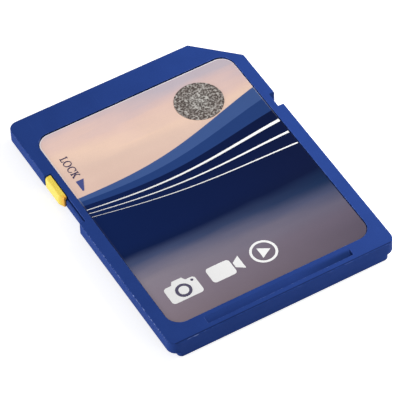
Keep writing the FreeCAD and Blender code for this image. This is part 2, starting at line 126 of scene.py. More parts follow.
class Wiring:
    """Adds nodes to one node tree; an input is given a number, a colour or another node's output."""

    def __init__(self, tree):
        self.tree = tree

    def add(self, kind, inputs=None, **options):
        node = self.tree.nodes.new(kind)
        for name, value in options.items():
            setattr(node, name, value)
        for name, value in (inputs or {}).items():
            self.feed(node.inputs[name], value)
        return node

    def feed(self, socket, value):
        if isinstance(value, bpy.types.NodeSocket):
            self.tree.links.new(value, socket)
        else:
            socket.default_value = value

    def math(self, operation, *values, clamp=False):
        node = self.add("ShaderNodeMath", operation=operation, use_clamp=clamp)
        for socket, value in zip(node.inputs, values):
            self.feed(socket, value)
        return node.outputs[0]

    def product(self, first, *others):
        """Masks multiplied, so that only what lies in all of them is left."""
        for other in others:
            first = self.math("MULTIPLY", first, other)
        return first

    def mingle(self, first, second, share):
        """The first value by its share and the second by the rest."""
        rest = self.math("MULTIPLY", second, 1 - share)
        return self.math("MULTIPLY_ADD", first, share, rest)

    def blend(self, factor, first, second, kind="MIX"):
        node = self.add("ShaderNodeMix", data_type="RGBA", blend_type=kind)
        self.feed(node.inputs[MIX_FACTOR], factor)
        self.feed(node.inputs[MIX_FIRST], first)
        self.feed(node.inputs[MIX_SECOND], second)
        return node.outputs[MIX_RESULT]

    def stain(self, body, shade, mask, strength):
        """The body's colour with another shade over it where the mask is."""
        return self.blend(self.math("MULTIPLY", mask, strength), body, shade)

    def spread(self, value, low, high, to_low=0.0, to_high=1.0):
        """The value carried from one range to another and held at its ends."""
        node = self.add("ShaderNodeMapRange", {"Value": value, "From Min": low, "From Max": high,
                                               "To Min": to_low, "To Max": to_high})
        return node.outputs["Result"]

    def swing(self, noise, low, high):
        """Noise carried to a range of its own."""
        return self.spread(noise, NOISE_LOW, NOISE_HIGH, low, high)

    def ramp(self, factor, stops):
        node = self.add("ShaderNodeValToRGB")
        points = node.color_ramp.elements
        for place, _ in stops[2:]:
            points.new(place)
        for point, (place, shade) in zip(points, stops):
            point.position = place
            point.color = shade
        self.feed(node.inputs["Fac"], factor)
        return node.outputs["Color"]

    def place(self, centre=(0, 0, 0), turn=0.0, stretch=(1, 1, 1)):
        """Place in millimetres from a centre, turned about the upright axis and stretched."""
        where = self.add("ShaderNodeTexCoord").outputs["Object"]
        scale = [factor / MM for factor in stretch]
        turned = Matrix.Rotation(turn, 3, "Z") @ Vector([c * s * MM for c, s in zip(centre, scale)])
        mapping = self.add("ShaderNodeMapping", {"Vector": where, "Location": -turned,
                                                 "Rotation": (0, 0, turn), "Scale": scale})
        return mapping.outputs["Vector"]

    def parts(self, vector):
        """The X, Y and Z of a place or a direction."""
        return self.add("ShaderNodeSeparateXYZ", {"Vector": vector}).outputs

    def noise(self, place, scale, detail=2.0, roughness=0.5):
        return self.add("ShaderNodeTexNoise", {"Vector": place, "Scale": scale, "Detail": detail,
                                               "Roughness": roughness}).outputs["Fac"]

    def bump(self, height, depth, strength=1.0):
        """Normals of a relief whose full height is the depth, in millimetres."""
        return self.add("ShaderNodeBump", {"Height": height, "Distance": depth * MM,
                                           "Strength": strength}).outputs["Normal"]

    def group(self, shared, inputs):
        node = self.add("ShaderNodeGroup", node_tree=shared)
        for name, value in inputs.items():
            self.feed(node.inputs[name], value)
        return node.outputs


def shared_effect(name, inputs, outputs):
    """An empty node group with its named sockets, and the wiring to fill it."""
    group = bpy.data.node_groups.new(name, "ShaderNodeTree")
    for socket, kind in inputs.items():
        group.interface.new_socket(socket, in_out="INPUT", socket_type=kind)
    for socket, kind in outputs.items():
        group.interface.new_socket(socket, in_out="OUTPUT", socket_type=kind)
    wiring = Wiring(group)
    start = wiring.add("NodeGroupInput").outputs
    end = wiring.add("NodeGroupOutput").inputs
    return group, wiring, start, end


def make_moulded_grain():
    """Fine grain that a textured mould leaves, with slow clouds of shade and gloss."""
    group, wiring, start, end = shared_effect(
        "moulded_grain",
        {"Place": "NodeSocketVector", "Grains per mm": "NodeSocketFloat"},
        {"Height": "NodeSocketFloat", "Shade": "NodeSocketFloat", "Gloss": "NodeSocketFloat"})
    fine = wiring.noise(start["Place"], start["Grains per mm"], detail=3.0, roughness=0.6)
    clouds = wiring.noise(start["Place"], scale=0.3, detail=3.0, roughness=0.55)
    patches = wiring.noise(start["Place"], scale=1.7)
    speckle = wiring.swing(fine, 0.0, 1.0)
    wiring.feed(end["Height"], fine)
    wiring.feed(end["Shade"], wiring.mingle(speckle, clouds, share=0.35))
    wiring.feed(end["Gloss"], wiring.mingle(patches, fine, share=0.6))
    return group


def make_slide_marks():
    """Hairline scratches along the card, as a socket leaves them."""
    group, wiring, start, end = shared_effect(
        "slide_marks",
        {"Place": "NodeSocketVector", "Lines per mm": "NodeSocketFloat", "Amount": "NodeSocketFloat"},
        {"Marks": "NodeSocketFloat"})
    drawn_out = (1.0, 0.035, 1.0)
    few_lines, many_lines = 0.74, 0.5
    sharpness = 12.0
    stretched = wiring.add("ShaderNodeVectorMath", {0: start["Place"], 1: drawn_out},
                           operation="MULTIPLY").outputs[0]
    lines = wiring.noise(stretched, start["Lines per mm"], detail=1.0)
    breaks = wiring.noise(start["Place"], scale=0.45)
    edge = wiring.spread(start["Amount"], 0.0, 1.0, few_lines, many_lines)
    over = wiring.math("SUBTRACT", lines, edge)
    hair = wiring.math("MULTIPLY", over, sharpness, clamp=True)
    wiring.feed(end["Marks"], wiring.math("MULTIPLY", hair, wiring.spread(breaks, 0.45, 0.6)))
    return group


def make_rubbed_edges():
    """Where outer edges are rubbed: specks on an edge, nothing on a flat face."""
    group, wiring, start, end = shared_effect(
        "rubbed_edges",
        {"Place": "NodeSocketVector", "Reach mm": "NodeSocketFloat",
         "Specks per mm": "NodeSocketFloat"},
        {"Rubbed": "NodeSocketFloat"})
    reach = wiring.math("MULTIPLY", start["Reach mm"], MM)
    rounded = wiring.add("ShaderNodeBevel", {"Radius": reach}, samples=6).outputs["Normal"]
    plain = wiring.add("ShaderNodeNewGeometry").outputs["Normal"]
    likeness = wiring.add("ShaderNodeVectorMath", {0: rounded, 1: plain},
                          operation="DOT_PRODUCT").outputs["Value"]
    edge = wiring.spread(wiring.math("SUBTRACT", 1.0, likeness), 0.02, 0.3)
    specks = wiring.noise(start["Place"], start["Specks per mm"], detail=4.0)
    wiring.feed(end["Rubbed"], wiring.math("MULTIPLY", edge, wiring.spread(specks, 0.42, 0.62)))
    return group


def make_tinned_ends():
    """Marks the two tinned ends of a chip part and the fine grain of tin and ceramic."""
    group, wiring, start, end = shared_effect(
        "tinned_ends",
        {"Place": "NodeSocketVector", "Body half length": "NodeSocketFloat"},
        {"Tin": "NodeSocketFloat", "Grain": "NodeSocketFloat"})
    ragged_width = 0.03
    sharpness = 60.0
    from_middle = wiring.math("ABSOLUTE", wiring.parts(start["Place"])["Y"])
    ragged = wiring.math("MULTIPLY", wiring.noise(start["Place"], scale=9.0), ragged_width)
    reach = wiring.math("ADD", from_middle, ragged)
    beyond = wiring.math("SUBTRACT", reach, start["Body half length"])
    wiring.feed(end["Tin"], wiring.math("MULTIPLY", beyond, sharpness, clamp=True))
    wiring.feed(end["Grain"], wiring.noise(start["Place"], scale=24.0, detail=3.0))
    return group


MOULDED_GRAIN = make_moulded_grain()
SLIDE_MARKS = make_slide_marks()
RUBBED_EDGES = make_rubbed_edges()
TINNED_ENDS = make_tinned_ends()


def new_finish(name):
    """A material with its Principled shader, and the wiring to feed it."""
    material = bpy.data.materials.new(name)
    material.use_nodes = True
    shader = material.node_tree.nodes["Principled BSDF"]
    return material, Wiring(material.node_tree), shader.inputs


def sunk_in_lid(wiring, parted, depth):
    """One in a hollow of the lid from this depth down, nothing on its top face or below the seam."""
    below_top = wiring.spread(parted["Z"], lid_high.z - SHARP, lid_high.z - depth)
    above_seam = wiring.spread(parted["Z"], base_high.z - SHARP, base_high.z)
    return wiring.product(below_top, above_seam)


def groove_painted_shade(wiring, parted):
    """Painted shade in the fingernail groove: darker towards the right, none at the left or on the end
    wall.
    """
    shade_start, shade_full, strength = 2.0, 7.0, 0.75
    end_fade = 0.3
    behind_front = wiring.spread(parted["Y"], GROOVE_FRONT + SOFT, GROOVE_FRONT)
    before_rear = wiring.spread(parted["Y"], GROOVE_REAR - SOFT, GROOVE_REAR)
    rightward = wiring.spread(parted["X"], shade_start, shade_full, 0.0, strength)
    before_end = wiring.spread(parted["X"], GROOVE_END - SHARP, GROOVE_END - end_fade)
    sunk = sunk_in_lid(wiring, parted, depth=SOFT)
    return wiring.product(sunk, behind_front, before_rear, rightward, before_end)


def rear_edge_painted_shade(wiring, parted):
    """Painted shade: a dark line on the lid's top face just inside its rounded rear edge, where a
    rounder edge would turn into shade.
    """
    line_front, line_rear, strength = 0.18, 0.1, 0.8
    past_line, weak = 0.07, 0.1
    edge_drop = 0.05
    front = wiring.spread(parted["Y"], base_low.y + line_front + 2 * SHARP, base_low.y + line_front,
                          0.0, strength)
    rear = wiring.spread(parted["Y"], base_low.y + past_line, base_low.y + line_rear, weak, 1.0)
    on_top = wiring.spread(parted["Z"], lid_high.z - edge_drop, lid_high.z - SHARP)
    return wiring.product(on_top, front, rear)


def painted_edge_glints(wiring, parted):
    """Painted highlights: bright glints on the lid's rounded top edges, fine at the sides and drawn out
    at the rear.
    """
    inner, outer = 0.15, 0.1
    facing_up = wiring.parts(wiring.add("ShaderNodeNewGeometry").outputs["Normal"])["Z"]
    not_upright = wiring.spread(facing_up, 0.15, 0.4)
    not_flat = wiring.spread(facing_up, 0.99, 0.9)
    from_middle = wiring.math("ABSOLUTE", parted["X"])
    beside = wiring.spread(from_middle, base_high.x - inner, base_high.x - outer)
    fine = wiring.noise(wiring.place(stretch=(1.0, 0.8, 1.0)), scale=5.5, detail=3.0)
    more_at_rear = wiring.spread(parted["Y"], 4.0, -10.0, 0.25, 0.8)
    sides = wiring.product(beside, wiring.spread(fine, 0.48, 0.68), more_at_rear)
    behind = wiring.spread(parted["Y"], base_low.y + inner, base_low.y + outer)
    drawn_out = wiring.noise(wiring.place(stretch=(0.3, 1.0, 1.0)), scale=3.0, detail=3.0)
    more_at_left = wiring.spread(parted["X"], -10.0, -5.0, 0.5, 0.08)
    rear = wiring.product(behind, wiring.spread(drawn_out, 0.5, 0.66), more_at_left)
    return wiring.product(wiring.product(not_upright, not_flat), wiring.math("MAXIMUM", sides, rear))


def label_gap_painted_shade(wiring, parted):
    """Painted shade in the open gap along the label's far edge."""
    start, strength = 0.3, 0.9
    reach_aside = 0.1
    far_wall = label_high.y + LABEL_FAR_GAP
    left_end = label_low.x - reach_aside
    right_end = label_high.x + reach_aside
    farther = wiring.spread(parted["Y"], label_high.y - start, label_high.y, 0.0, strength)
    before_wall = wiring.spread(parted["Y"], far_wall + 2 * SHARP, far_wall + SHARP)
    from_left = wiring.spread(parted["X"], left_end - 2 * SHARP, left_end - SHARP)
    to_right = wiring.spread(parted["X"], right_end + 2 * SHARP, right_end + SHARP)
    sunk = sunk_in_lid(wiring, parted, depth=0.05)
    return wiring.product(sunk, farther, before_wall, from_left, to_right)


def notch_painted_shade(wiring, parted):
    """Painted shade beside the edge notch, on the rail's wall and on the top face there."""
    strength = 0.75
    inward, outward, past_wall, up = 0.03, 0.05, 0.15, 0.08
    outer = wiring.spread(parted["X"], NOTCH_FLOOR - inward, NOTCH_FLOOR + outward, 0.0, strength)
    from_wall = wiring.spread(parted["Y"], NOTCH_WALL_FROM - SOFT, NOTCH_WALL_FROM)
    to_wall = wiring.spread(parted["Y"], NOTCH_WALL_TO + past_wall, NOTCH_WALL_TO)
    above = wiring.spread(parted["Z"], RAIL_BOTTOM + SHARP, RAIL_BOTTOM + up)
    return wiring.product(above, outer, from_wall, to_wall)


def satin_shell():
    """Blue moulded plastic of both covers, with painted shade and painted highlights in its colour."""
    material, wiring, shader = new_finish("satin_shell")
    seam_clear, seam_full = 0.1, 0.2
    place = wiring.place()
    grain = wiring.group(MOULDED_GRAIN, {"Place": place, "Grains per mm": 9.0})
    rubbed = wiring.group(RUBBED_EDGES, {
        "Place": place, "Reach mm": 0.09, "Specks per mm": 3.6})["Rubbed"]
    parted = wiring.parts(place)
    from_seam = wiring.math("ABSOLUTE", wiring.math("SUBTRACT", parted["Z"], base_high.z))
    rubbed = wiring.product(rubbed, wiring.spread(from_seam, seam_clear, seam_full))
    marks = wiring.group(SLIDE_MARKS, {"Place": place, "Lines per mm": 7.0, "Amount": 0.25})["Marks"]
    body = wiring.blend(grain["Shade"], colour("233B7C"), colour("2C4993"))
    # Painted shade: darker groove, a dark line at the rear edge, the label's far gap and the corner
    # beside the notch.
    body = wiring.blend(groove_painted_shade(wiring, parted), body, colour("132B5E"))
    body = wiring.blend(rear_edge_painted_shade(wiring, parted), body, colour("12224E"))
    body = wiring.blend(label_gap_painted_shade(wiring, parted), body, colour("060C28"))
    body = wiring.blend(notch_painted_shade(wiring, parted), body, colour("0A1E48"))
    # Lighter rubbed edges: partly wear, partly a painted highlight on the rounded edges.
    body = wiring.stain(body, colour("7C96DC"), mask=rubbed, strength=0.7)
    # Painted highlights: glints on the rounded top edges.
    body = wiring.blend(painted_edge_glints(wiring, parted), body, colour("A4B8F0"))
    body = wiring.stain(body, colour("4A66B0"), mask=marks, strength=0.06)
    wiring.feed(shader["Base Color"], body)
    satin = wiring.swing(grain["Gloss"], 0.5, 0.64)
    wiring.feed(shader["Roughness"], wiring.math("MULTIPLY_ADD", rubbed, -0.15, satin))
    wiring.feed(shader["Normal"], wiring.bump(grain["Height"], depth=0.012, strength=0.5))
    shader["Specular IOR Level"].default_value = 0.03
    return material


def yellow_slider():
    """Bright moulded plastic of the write-protect slider, with painted orange shade over its rear end.
    """
    material, wiring, shader = new_finish("yellow_slider")
    shade_length = 0.5
    place = wiring.place()
    along = wiring.parts(place)["Y"]
    rear_end_shade = wiring.spread(along, slider_low.y + shade_length, slider_low.y)
    grain = wiring.group(MOULDED_GRAIN, {"Place": place, "Grains per mm": 8.0})
    rubbed = wiring.group(RUBBED_EDGES, {
        "Place": place, "Reach mm": 0.1, "Specks per mm": 2.2})["Rubbed"]
    body = wiring.blend(grain["Shade"], colour("F9D94C"), colour("FFE766"))
    # Painted shade: deeper orange over the rear end, which lies in shade.
    body = wiring.stain(body, colour("F8A42C"), mask=rear_end_shade, strength=0.8)
    body = wiring.stain(body, colour("FFEA90"), mask=rubbed, strength=0.4)
    wiring.feed(shader["Base Color"], body)
    wiring.feed(shader["Roughness"], wiring.swing(grain["Gloss"], 0.34, 0.48))
    wiring.feed(shader["Normal"], wiring.bump(grain["Height"], depth=0.01, strength=0.4))
    shader["Specular IOR Level"].default_value = 0.35
    return material


def cut_edge(wiring, parted):
    """One on the thin unprinted line round the label's edge, wider on its left, and nothing inside."""
    print_inset, bare_inset = 0.09, 0.05
    middle = (label_low + label_high) / 2 + Vector((PRINT_SHIFT, 0, 0))
    half = (label_high - label_low) / 2

    def past_straight(place, centre, straight):
        """How far a place lies past the straight part of an edge, seen from the middle."""
        from_middle = wiring.math("ABSOLUTE", wiring.math("SUBTRACT", place, centre))
        return wiring.math("SUBTRACT", from_middle, straight)

    past_x = past_straight(parted["X"], middle.x, half.x - LABEL_CORNER)
    past_y = past_straight(parted["Y"], middle.y, half.y - LABEL_CORNER)
    corner_x = wiring.math("POWER", wiring.math("MAXIMUM", past_x, 0.0), 2.0)
    corner_y = wiring.math("POWER", wiring.math("MAXIMUM", past_y, 0.0), 2.0)
    round_corner = wiring.math("SQRT", wiring.math("ADD", corner_x, corner_y))
    straight_side = wiring.math("MINIMUM", wiring.math("MAXIMUM", past_x, past_y), 0.0)
    from_corner = wiring.math("ADD", round_corner, straight_side)
    return wiring.spread(from_corner, LABEL_CORNER - print_inset, LABEL_CORNER - bare_inset)


def warm_field(wiring, parted):
    """The pale warm upper part of the print, in soft streaks that lean across it."""
    lowered, lean, streak_reach = 2.0, 0.11, 4.0
    streaks = wiring.noise(wiring.place(turn=-0.12, stretch=(0.10, 0.55, 1.0)), scale=1.0, detail=4.0)
    tilted = wiring.math("MULTIPLY_ADD", parted["X"], lean,
                         wiring.math("SUBTRACT", parted["Y"], lowered))
    height = wiring.math("MULTIPLY_ADD", streaks, streak_reach, tilted)
    return wiring.ramp(wiring.spread(height, 1.0, label_high.y), [
        (0.25, colour("E2C2B3")), (0.45, colour("E6C7B7")), (0.62, colour("F2D1BD")),
        (0.75, colour("EBCABE")), (0.88, colour("DEC3C1")), (1.0, colour("C9BCC5"))])


def mauve_foot(wiring, parted, share):
    """The print below the bands: dark blue that fades to mauve at the foot, with painted shade that
    makes it darker on its right.
    """
    lowered, dusk_reach = 1.2, 2.4
    mauve_height, blue_height = -14.0, -3.0
    dusk = wiring.noise(wiring.place(stretch=(0.06, 0.35, 1.0)), scale=1.0, detail=3.0)
    height = wiring.math("MULTIPLY_ADD", dusk, dusk_reach,
                         wiring.math("SUBTRACT", parted["Y"], lowered))
    rise = wiring.spread(height, mauve_height, blue_height)
    left = wiring.ramp(rise, [
        (0.0, colour("82747D")), (0.3, colour("897D89")), (0.5, colour("8B828E")),
        (0.64, colour("6E6C82")), (0.73, colour("465072")), (0.86, colour("081C48")),
        (1.0, colour("0A1F50"))])
    # The right ramp is darker: painted shade.
    right = wiring.ramp(rise, [
        (0.0, colour("5E5463")), (0.3, colour("6A6071")), (0.45, colour("6A6579")),
        (0.6, colour("4A5170")), (0.73, colour("142C52")), (0.86, colour("04143C")),
        (1.0, colour("04143E"))])
    return wiring.blend(share, left, right)


def printed_label():
    """Film label: a pale warm field above sweeping dark bands and a mauve foot, with a white edge;
    painted light makes it lighter on its left and darker on its right.
    """
    material, wiring, shader = new_finish("printed_label")
    crest_softness = 0.03
    painted_light_left, painted_light_right = 1.14, 0.78
    bare_low, bare_high, bare_weak, bare_strong = 2.5, 11.0, 0.012, 0.8
    place = wiring.place()
    parted = wiring.parts(place)
    across = wiring.math("SUBTRACT", parted["X"], label_low.x)
    share = wiring.math("DIVIDE", across, label_high.x - label_low.x)
    sway = wiring.math("SINE", wiring.math("MULTIPLY", across, 2 * math.pi / SWEEP_LENGTH))

    def below(crest):
        """One below a crest line, nothing above it."""
        rise = wiring.math("MULTIPLY_ADD", share, crest["right"] - crest["left"], crest["left"])
        line = wiring.math("MULTIPLY_ADD", sway, -crest["swing"], rise)
        depth = wiring.math("SUBTRACT", line, parted["Y"])
        return wiring.spread(depth, -crest_softness, crest_softness)

    ground = warm_field(wiring, parted)
    ground = wiring.blend(below(CRESTS["slate"]), ground, colour("3F5A92"))
    ground = wiring.blend(below(CRESTS["indigo"]), ground, colour("24407A"))
    ground = wiring.blend(below(CRESTS["navy"]), ground, mauve_foot(wiring, parted, share))
    # Painted light: the print is lighter towards the label's left and darker towards its right.
    painted_light_falloff = wiring.spread(share, 0.0, 1.0, painted_light_left, painted_light_right)
    ground = wiring.blend(1.0, ground, painted_light_falloff, kind="MULTIPLY")
    upward = wiring.spread(parted["Y"], bare_low, bare_high, bare_weak, bare_strong)
    ground = wiring.blend(wiring.product(cut_edge(wiring, parted), upward), ground, colour("FAF8FC"))
    grain = wiring.group(MOULDED_GRAIN, {"Place": place, "Grains per mm": 14.0})
    marks = wiring.group(SLIDE_MARKS, {"Place": place, "Lines per mm": 9.0, "Amount": 0.2})["Marks"]
    tint = wiring.swing(grain["Shade"], 0.96, 1.03)
    wiring.feed(shader["Base Color"], wiring.blend(1.0, ground, tint, kind="MULTIPLY"))
    film = wiring.swing(grain["Gloss"], 0.54, 0.64)
    wiring.feed(shader["Roughness"], wiring.math("MULTIPLY_ADD", marks, -0.12, film))
    wiring.feed(shader["Normal"], wiring.bump(grain["Height"], depth=0.004, strength=0.3))
    shader["Specular IOR Level"].default_value = 0.06
    return material


def speckled_foil():
    """Silver foil disc: fine dark and light specks, lighter in the middle and warmer at the rim."""
    material, wiring, shader = new_finish("speckled_foil")
    thread_share, speck_share = 0.75, 0.45
    mean_mottle, contrast, mean_light, rim_light = 0.617, 1.4, 0.52, -0.085
    place = wiring.place(centre=seal_centre)
    radius = wiring.add("ShaderNodeVectorMath", {0: place}, operation="LENGTH").outputs["Value"]
    rim = wiring.spread(wiring.math("DIVIDE", radius, seal_radius), 0.1, 0.75)
    specks = wiring.add("ShaderNodeTexVoronoi", {"Vector": place, "Scale": 5.2, "Randomness": 1.0},
                        feature="F1").outputs["Distance"]
    threads = wiring.noise(place, scale=4.2, detail=4.0, roughness=0.65)
    mottle = wiring.math("MULTIPLY_ADD", threads, thread_share,
                         wiring.math("MULTIPLY", specks, speck_share))
    centred = wiring.math("MULTIPLY", wiring.math("SUBTRACT", mottle, mean_mottle), contrast)
    light = wiring.math("MULTIPLY_ADD", rim, rim_light, wiring.math("ADD", centred, mean_light))
    shade = wiring.ramp(wiring.spread(light, 0.28, 0.72), [
        (0.0, colour("3E3936")), (0.35, colour("77716C")),
        (0.6, colour("989490")), (1.0, colour("C6C4BE"))])
    shade = wiring.stain(shade, colour("7A5A50"), mask=rim, strength=0.12)
    wiring.feed(shader["Base Color"], shade)
    shader["Metallic"].default_value = 0.25
    wiring.feed(shader["Roughness"], wiring.spread(mottle, 0.3, 0.8, 0.5, 0.66))
    wiring.feed(shader["Normal"], wiring.bump(mottle, depth=0.02, strength=0.6))
    return material


def gold_contact():
    """Gold plating with the marks of the socket's springs."""
    material, wiring, shader = new_finish("gold_contact")
    place = wiring.place()
    marks = wiring.group(SLIDE_MARKS, {"Place": place, "Lines per mm": 16.0, "Amount": 0.7})["Marks"]
    grain = wiring.group(MOULDED_GRAIN, {"Place": place, "Grains per mm": 20.0})
    plate = wiring.blend(grain["Shade"], colour("D9A94A"), colour("F0CC78"))
    plate = wiring.stain(plate, colour("F8E2A8"), mask=marks, strength=0.4)
    wiring.feed(shader["Base Color"], plate)
    shader["Metallic"].default_value = 1.0
    satin = wiring.swing(grain["Gloss"], 0.2, 0.32)
    wiring.feed(shader["Roughness"], wiring.math("MULTIPLY_ADD", marks, 0.15, satin))
    wiring.feed(shader["Normal"], wiring.bump(grain["Height"], depth=0.003, strength=0.4))
    return material


def solder_mask():
    """Green solder mask over the woven board."""
    material, wiring, shader = new_finish("solder_mask")
    place = wiring.place()
    warp, weft = (
        wiring.add("ShaderNodeTexWave", {"Vector": place, "Scale": 1.1, "Distortion": 0.6},
                   bands_direction=axis).outputs["Fac"]
        for axis in "XY")
    weave = wiring.product(warp, weft)
    grain = wiring.group(MOULDED_GRAIN, {"Place": place, "Grains per mm": 12.0})
    coat = wiring.blend(grain["Shade"], colour("12422B"), colour("1F5B3A"))
    coat = wiring.stain(coat, colour("2F7048"), mask=weave, strength=0.25)
    wiring.feed(shader["Base Color"], coat)
    wiring.feed(shader["Roughness"], wiring.swing(grain["Gloss"], 0.26, 0.4))
    wiring.feed(shader["Normal"], wiring.bump(weave, depth=0.006, strength=0.4))
    return material


def black_package():
    """Matt black moulding compound of the chips."""
    material, wiring, shader = new_finish("black_package")
    place = wiring.place()
    grain = wiring.group(MOULDED_GRAIN, {"Place": place, "Grains per mm": 16.0})
    rubbed = wiring.group(RUBBED_EDGES, {
        "Place": place, "Reach mm": 0.06, "Specks per mm": 2.2})["Rubbed"]
    body = wiring.blend(grain["Shade"], colour("232326"), colour("36363A"))
    body = wiring.stain(body, colour("6A6A70"), mask=rubbed, strength=0.4)
    wiring.feed(shader["Base Color"], body)
    wiring.feed(shader["Roughness"], wiring.swing(grain["Gloss"], 0.6, 0.78))
    wiring.feed(shader["Normal"], wiring.bump(grain["Height"], depth=0.01, strength=0.5))
    return material


def tinned_lead():
    """Dull tin on the memory's leads."""
    material, wiring, shader = new_finish("tinned_lead")
    grain = wiring.group(MOULDED_GRAIN, {"Place": wiring.place(), "Grains per mm": 22.0})
    wiring.feed(shader["Base Color"], wiring.blend(grain["Shade"], colour("A9ABAE"), colour("D2D3D4")))
    shader["Metallic"].default_value = 1.0
    wiring.feed(shader["Roughness"], wiring.swing(grain["Gloss"], 0.3, 0.5))
    wiring.feed(shader["Normal"], wiring.bump(grain["Height"], depth=0.004, strength=0.4))
    return material


def chip_part(name, low, high, dark, light):
    """Ceramic chip part between its tinned ends."""
    material, wiring, shader = new_finish(name)
    bare_share = 0.27
    place = wiring.place(centre=(low + high) / 2)
    ends = wiring.group(TINNED_ENDS, {
        "Place": place, "Body half length": (high.y - low.y) * bare_share})
    ceramic = wiring.blend(ends["Grain"], dark, light)
    tin = wiring.blend(ends["Grain"], colour("B4B6B9"), colour("DADBDC"))
    wiring.feed(shader["Base Color"], wiring.blend(ends["Tin"], ceramic, tin))
    wiring.feed(shader["Metallic"], ends["Tin"])
    wiring.feed(shader["Roughness"], wiring.swing(ends["Grain"], 0.35, 0.5))
    wiring.feed(shader["Normal"], wiring.bump(ends["Grain"], depth=0.005, strength=0.4))
    return material


def ink(name, dark, light):
    """Printing ink on the label: an even colour with the slight unevenness of a screen print."""
    material, wiring, shader = new_finish(name)
    grain = wiring.group(MOULDED_GRAIN, {"Place": wiring.place(), "Grains per mm": 12.0})
    wiring.feed(shader["Base Color"], wiring.blend(grain["Shade"], dark, light))
    wiring.feed(shader["Roughness"], wiring.swing(grain["Gloss"], 0.4, 0.52))
    wiring.feed(shader["Normal"], wiring.bump(grain["Height"], depth=0.003, strength=0.3))
    shader["Specular IOR Level"].default_value = 0.3
    return material


FINISHES = {
    "shell": satin_shell(),
    "slider": yellow_slider(),
    "label": printed_label(),
    "foil": speckled_foil(),
    "gold": gold_contact(),
    "board": solder_mask(),
    "package": black_package(),
    "lead": tinned_lead(),
    "capacitor": chip_part("brown_ceramic", capacitor_low, capacitor_high,
                           dark=colour("8A6D4C"), light=colour("A88A64")),
    "resistor": chip_part("black_glaze", resistor_low, resistor_high,
                          dark=colour("1C1C20"), light=colour("2C2C32")),
}
WHITE_INK = ink("white_ink", colour("EDECEC"), colour("FAFAFA"))
LETTER_INK = ink("letter_ink", colour("2C2650"), colour("3C3460"))
ARROW_INK = ink("arrow_ink", colour("434E8C"), colour("505B9A"))
LENS_INK = ink("lens_ink", colour("4C4760"), colour("5A546E"))


def dress_cad_nodes():
    """Gives every node the finish of its material slot."""
    for part in frame["record"]["subparts"]:
        node = frame["nodes"][part["node"]]
        node.data.materials.clear()
        node.data.materials.append(FINISHES[part["material_slot"]])


def finish_print(name, shape, finish):
    """Turns a layer of ink drawn in millimetres into a piece that lies on the label."""
    bmesh.ops.remove_doubles(shape, verts=shape.verts, dist=1e-5)
    bmesh.ops.recalc_face_normals(shape, faces=shape.faces)
    bmesh.ops.scale(shape, verts=shape.verts, vec=(MM, MM, MM))
    mesh = bpy.data.meshes.new(name)
    shape.to_mesh(mesh)
    shape.free()
    mesh.materials.append(finish)
    piece = bpy.data.objects.new(name, mesh)
    bpy.context.collection.objects.link(piece)
    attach(piece, "card")


def lift_ink(shape, faces, thickness=INK_THICKNESS):
    """Gives flat faces the thickness of ink."""
    raised = bmesh.ops.extrude_face_region(shape, geom=faces)["geom"]
    tops = [item for item in raised if isinstance(item, bmesh.types.BMVert)]
    bmesh.ops.translate(shape, verts=tops, vec=(0, 0, thickness))


def flat_plate(shape, corners, height=LABEL_TOP, thickness=INK_THICKNESS):
    """A flat patch of ink with straight sides."""
    outline = [shape.verts.new((x, y, height)) for x, y in corners]
    lift_ink(shape, [shape.faces.new(outline)], thickness)


def rounded_plate(shape, centre, width, height, corner):
    """A rectangular patch of ink with round corners."""
    patch = bmesh.ops.create_grid(shape, x_segments=1, y_segments=1, size=0.5)["verts"]
    bmesh.ops.scale(shape, verts=patch, vec=(width, height, 1))
    bmesh.ops.translate(shape, verts=patch, vec=(*centre, LABEL_TOP))
    rounded = bmesh.ops.bevel(shape, geom=patch, offset=corner, offset_type="OFFSET", affect="VERTICES",
                              segments=5, profile=0.5, material=-1)["verts"]
    lift_ink(shape, rounded[0].link_faces[:])


def disc(shape, centre, radius, height=LABEL_TOP):
    """A round patch of ink."""
    rim = bmesh.ops.create_circle(shape, cap_ends=True, segments=ROUND_SIDES, radius=radius)["verts"]
    bmesh.ops.translate(shape, verts=rim, vec=(*centre, height))
    lift_ink(shape, rim[0].link_faces[:])


def ring(shape, centre, outer, inner, thickness=INK_THICKNESS, open_from=None):
    """A round or oval ring of ink, given by its half axes; it may be open from a place on its right."""
    loops = []
    for half_axes in (outer, inner):
        rim = bmesh.ops.create_circle(shape, segments=ROUND_SIDES, radius=1.0)["verts"]
        bmesh.ops.scale(shape, verts=rim, vec=(*half_axes, 1))
        bmesh.ops.translate(shape, verts=rim, vec=(*centre, LABEL_TOP))
        loops += list({edge for vertex in rim for edge in vertex.link_edges})
    faces = bmesh.ops.bridge_loops(shape, edges=loops)["faces"]
    if open_from is not None:
        band = faces + list({item for face in faces for item in (*face.edges, *face.verts)})
        cut = bmesh.ops.bisect_plane(shape, geom=band, plane_co=(open_from, 0, 0), plane_no=(1, 0, 0),
                                     clear_outer=True)["geom"]
        faces = [item for item in cut if isinstance(item, bmesh.types.BMFace)]
    lift_ink(shape, faces, thickness)


def stroke(shape, start, end, width, thickness):
    """A straight stroke of a letter."""
    along = Vector(end) - Vector(start)
    aside = Vector((-along.y, along.x)).normalized() * width / 2
    corners = [Vector(start) + aside, Vector(start) - aside, Vector(end) - aside, Vector(end) + aside]
    flat_plate(shape, corners, thickness=thickness)


